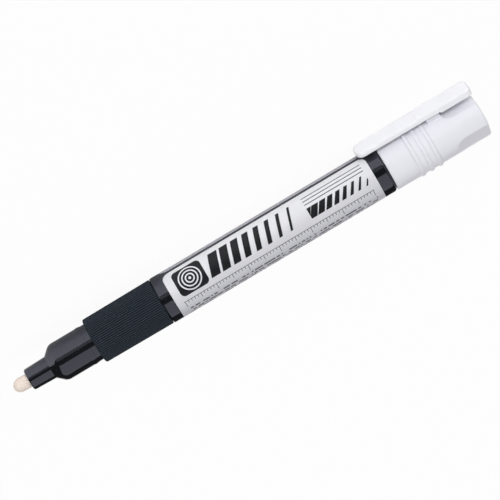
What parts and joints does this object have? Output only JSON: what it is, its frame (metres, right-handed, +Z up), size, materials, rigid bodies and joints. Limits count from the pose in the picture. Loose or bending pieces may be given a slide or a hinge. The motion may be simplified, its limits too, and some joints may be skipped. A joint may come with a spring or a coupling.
{
  "type": "paint marker",
  "caption": "Valve-action paint marker with a bullet nib, stepped nose, ribbed grip, labelled barrel and a clip cap posted on its tail.",
  "frame": {"origin": "on the marker's axis, at the middle of the label", "axes": "+X along the marker's axis towards the nib, +Z up, with the marker lying on a table and the clip's edge resting on it on the -Y side"},
  "size_m": [0.1498, 0.0177, 0.0148],
  "materials": {
    "black_gloss": "polished black moulded plastic",
    "grip_plastic": "matt dark grey, fine ribs",
    "label_film": "satin silver printed film",
    "white_plastic": "semi-gloss white moulded plastic",
    "nib_fibre": "sintered cream fibre",
    "natural_plastic": "milky natural plastic",
    "steel": "bright steel",
    "seal_rubber": "black sealing rubber"
  },
  "bodies": {
    "marker": {"barrel": "black_gloss", "barrel_label": "label_film", "tail_plug": "black_gloss", "nib_holder": "black_gloss", "grip_sleeve": "grip_plastic", "holder_seal": "seal_rubber", "valve_seat": "seal_rubber", "valve_cage": "natural_plastic", "valve_spring": "steel"},
    "tip": {"nib": "nib_fibre", "valve_rod": "natural_plastic"},
    "ball": {"mixing_ball": "steel"},
    "liner": {"inner_cap": "natural_plastic"},
    "cap": {"cap_shell": "white_plastic"},
    "clip": {"cap_clip": "white_plastic"}
  },
  "joints": [
    {"name": "nib_press", "type": "slide", "parent": "marker", "child": "tip", "axis": [-1, 0, 0], "range_m": [0, 0.0018], "stiffness_N_per_m": 900, "springref_m": -0.002, "deforming": ["valve_spring"]},
    {"name": "cap_pull", "type": "slide", "parent": "marker", "child": "liner", "axis": [-1, 0, 0], "range_m": [0, 0.025]},
    {"name": "cap_turn", "type": "hinge", "parent": "liner", "child": "cap", "pos_m": [-0.0521, 0, 0], "axis": [1, 0, 0], "continuous": true},
    {"name": "clip_flex", "type": "hinge", "parent": "cap", "child": "clip", "pos_m": [-0.05421, -0.00753, -0.00435], "axis": [0, 0.5, -0.866], "range_deg": [0, 6], "stiffness_Nm_per_rad": 0.44, "springref_deg": -1.15},
    {"name": "ball_roll", "type": "slide", "parent": "marker", "child": "ball", "axis": [1, 0, 0], "range_m": [-0.0271, 0.0244]}
  ]
}
